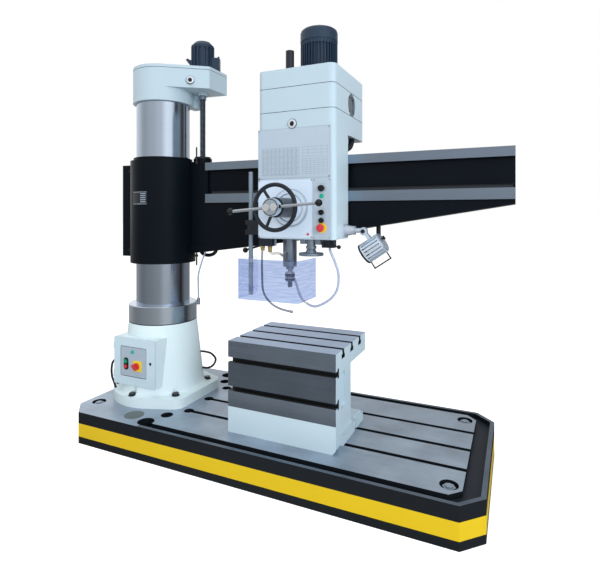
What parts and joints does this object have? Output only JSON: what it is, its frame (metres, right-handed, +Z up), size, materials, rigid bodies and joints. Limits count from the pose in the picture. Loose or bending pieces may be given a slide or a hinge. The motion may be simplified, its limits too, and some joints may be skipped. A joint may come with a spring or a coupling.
{
  "type": "radial arm drilling machine",
  "caption": "Radial arm drill: slotted base and box table, turning column, lifting arm, sliding drill head with geared feed, handwheel, guard and lamp.",
  "frame": {"origin": "column axis at the floor", "axes": "+X out along the base and arm, +Y to the back, +Z up"},
  "size_m": [2.496, 1, 2.553],
  "materials": {
    "white_paint": "satin pale bluish white machine paint",
    "arm_paint": "satin near-black machine paint",
    "base_paint": "machined top, black and yellow painted sides",
    "motor_paint": "dark grey-blue paint",
    "machined": "ground steel",
    "iron": "machined cast iron",
    "bronze": "bearing bronze",
    "chrome": "polished",
    "black_steel": "black",
    "black_plastic": "moulded",
    "red_plastic": "moulded",
    "green_plastic": "moulded",
    "panel_plate": "printed plate",
    "clear_sheet": "clear bluish plastic",
    "hose_black": "smooth",
    "hose_pale": "pale smooth hose",
    "lamp_metal": "cast, satin",
    "tray_metal": "light grey"
  },
  "bodies": {
    "machine_base": {"base_casting": "base_paint", "levelling_screws": "machined", "column_foot": "white_paint", "foot_bolts": "black_steel", "inner_column": "machined", "box_table": "iron", "switch_box": "tray_metal", "foot_cables": "hose_black"},
    "door": {"switch_door": "white_paint"},
    "main_switch": {"main_switch": "red_plastic"},
    "start_button": {"start_button": "green_plastic"},
    "stop_button": {"stop_button": "red_plastic"},
    "column": {"outer_column": "machined", "clamp_ring": "iron", "column_bearings": "bronze", "top_cap": "white_paint", "lift_motor": "motor_paint"},
    "lead_screw": {"lead_screw": "machined"},
    "arm": {"arm_casting": "arm_paint", "clamp_cover": "arm_paint", "guideways": "machined", "traverse_rack": "machined", "lift_nut": "bronze", "limit_rod": "machined", "arm_hose": "hose_black", "clamp_hose": "hose_pale"},
    "head": {"head_casing": "white_paint", "head_middle": "white_paint", "head_cover": "white_paint", "main_motor": "motor_paint", "motor_fan_cover": "motor_paint", "control_panel": "panel_plate", "feed_dial": "machined", "fine_feed_housing": "iron", "head_conduits": "hose_black", "coolant_valve": "black_steel", "coolant_hose": "hose_pale", "coolant_pipe": "chrome", "guard_clamp": "black_steel", "lamp_bracket": "lamp_metal"},
    "traverse_wheel": {"traverse_handwheel": "black_steel"},
    "transfer_shaft": {"transfer_shaft": "machined"},
    "feed_hub": {"feed_hub": "chrome"},
    "feed_levers": {"feed_levers": "chrome"},
    "quill": {"quill": "machined"},
    "spindle": {"spindle": "machined", "chuck": "black_steel"},
    "spindle_gear": {"spindle_gear": "machined"},
    "motor_gear": {"motor_gear": "machined"},
    "fine_wheel": {"fine_feed_wheel": "iron"},
    "speed_knob": {"speed_knob": "black_plastic"},
    "selector_knob": {"selector_knob": "black_plastic"},
    "push_button": {"push_button": "black_plastic"},
    "stop_mushroom": {"stop_mushroom": "red_plastic"},
    "guard_rod": {"guard_rod": "chrome"},
    "guard": {"guard_shield": "clear_sheet"},
    "lamp_arm": {"lamp_arm": "chrome"},
    "lamp_head": {"lamp_head": "lamp_metal"},
    "valve_lever": {"valve_lever": "black_plastic"},
    "reverse_lever": {"reverse_lever": "black_plastic"}
  },
  "joints": [
    {"name": "door_hinge", "type": "hinge", "parent": "machine_base", "child": "door", "pos_m": [-0.172, -0.267, 0.45], "axis": [0, 0, -1], "range_deg": [0, 110]},
    {"name": "main_switch_turn", "type": "hinge", "parent": "door", "child": "main_switch", "pos_m": [0.025, -0.272, 0.429], "axis": [0, 1, 0], "range_deg": [0, 90]},
    {"name": "start_press", "type": "slide", "parent": "door", "child": "start_button", "axis": [0, 1, 0], "range_m": [0, 0.004], "stiffness_N_per_m": 600, "springref_m": -0.002},
    {"name": "stop_press", "type": "slide", "parent": "door", "child": "stop_button", "axis": [0, 1, 0], "range_m": [0, 0.004], "stiffness_N_per_m": 600, "springref_m": -0.002},
    {"name": "column_swing", "type": "hinge", "parent": "machine_base", "child": "column", "pos_m": [0, 0, 1], "axis": [0, 0, 1], "range_deg": [-180, 180]},
    {"name": "screw_turn", "type": "hinge", "parent": "column", "child": "lead_screw", "pos_m": [0.232, 0.128, 1.7], "axis": [0, 0, 1], "range_deg": [-6301, 16201]},
    {"name": "arm_lift", "type": "slide", "parent": "column", "child": "arm", "axis": [0, 0, 1], "range_m": [-0.14, 0.36], "deforming": ["clamp_hose"]},
    {"name": "head_traverse", "type": "slide", "parent": "arm", "child": "head", "axis": [1, 0, 0], "range_m": [-0.49, 0.759]},
    {"name": "transfer_turn", "type": "hinge", "parent": "head", "child": "transfer_shaft", "pos_m": [1.09218, -0.1, 1.5586], "axis": [0, 1, 0], "range_deg": [-937, 1451]},
    {"name": "wheel_turn", "type": "hinge", "parent": "head", "child": "traverse_wheel", "pos_m": [1.066, -0.3, 1.417], "axis": [0, -1, 0], "range_deg": [-1873, 2900]},
    {"name": "quill_feed", "type": "slide", "parent": "head", "child": "quill", "axis": [0, 0, -1], "range_m": [0, 0.27]},
    {"name": "feed_turn", "type": "hinge", "parent": "head", "child": "feed_hub", "pos_m": [1.066, -0.3, 1.417], "axis": [0, -1, 0], "range_deg": [-1, 794]},
    {"name": "lever_pull", "type": "slide", "parent": "feed_hub", "child": "feed_levers", "axis": [0, -1, 0], "range_m": [0, 0.012]},
    {"name": "spindle_spin", "type": "hinge", "parent": "quill", "child": "spindle", "pos_m": [1.004, -0.096, 1.5], "axis": [0, 0, 1], "continuous": true},
    {"name": "spindle_gear_spin", "type": "hinge", "parent": "head", "child": "spindle_gear", "pos_m": [1.004, -0.096, 2], "axis": [0, 0, 1], "continuous": true},
    {"name": "motor_gear_spin", "type": "hinge", "parent": "head", "child": "motor_gear", "pos_m": [1.12447, 0.04963, 2], "axis": [0, 0, 1], "continuous": true},
    {"name": "fine_feed_turn", "type": "hinge", "parent": "head", "child": "fine_wheel", "pos_m": [1.16, -0.15, 1.2], "axis": [0, 0, 1], "continuous": true},
    {"name": "speed_turn", "type": "hinge", "parent": "head", "child": "speed_knob", "pos_m": [1.25, -0.22, 1.519], "axis": [0, 1, 0], "range_deg": [-135, 135]},
    {"name": "selector_turn", "type": "hinge", "parent": "head", "child": "selector_knob", "pos_m": [1.25, -0.22, 1.392], "axis": [0, 1, 0], "range_deg": [-45, 45]},
    {"name": "push_press", "type": "slide", "parent": "head", "child": "push_button", "axis": [0, 1, 0], "range_m": [0, 0.004], "stiffness_N_per_m": 600, "springref_m": -0.002},
    {"name": "stop_mushroom_press", "type": "slide", "parent": "head", "child": "stop_mushroom", "axis": [0, 1, 0], "range_m": [0, 0.005]},
    {"name": "guard_slide", "type": "slide", "parent": "head", "child": "guard_rod", "axis": [0, 0, -1], "range_m": [0, 0.2]},
    {"name": "guard_swing", "type": "hinge", "parent": "guard_rod", "child": "guard", "pos_m": [0.795, -0.18, 1], "axis": [0, 0, -1], "range_deg": [0, 95]},
    {"name": "lamp_swivel", "type": "hinge", "parent": "head", "child": "lamp_arm", "pos_m": [1.39, -0.06, 1.294], "axis": [1, 0, 0], "range_deg": [-20, 20]},
    {"name": "lamp_tilt", "type": "hinge", "parent": "lamp_arm", "child": "lamp_head", "pos_m": [1.431, -0.06, 1.29], "axis": [0, 1, 0], "range_deg": [-12, 12]},
    {"name": "valve_turn", "type": "hinge", "parent": "head", "child": "valve_lever", "pos_m": [1.284, -0.18, 1.222], "axis": [0, 1, 0], "range_deg": [0, 90]},
    {"name": "reverse_turn", "type": "hinge", "parent": "head", "child": "reverse_lever", "pos_m": [0.884, -0.104, 1.219], "axis": [0, 1, 0], "range_deg": [-12, 12]}
  ],
  "couplings": [
    {"joint": "screw_turn", "follows": "arm_lift", "rad_per_m": 785.4},
    {"joint": "transfer_turn", "follows": "head_traverse", "rad_per_m": 33.333},
    {"joint": "wheel_turn", "follows": "head_traverse", "rad_per_m": 66.667},
    {"joint": "feed_turn", "follows": "quill_feed", "rad_per_m": 51.282},
    {"joint": "spindle_gear_spin", "follows": "spindle_spin", "ratio": 1},
    {"joint": "motor_gear_spin", "follows": "spindle_spin", "ratio": -0.85294}
  ]
}
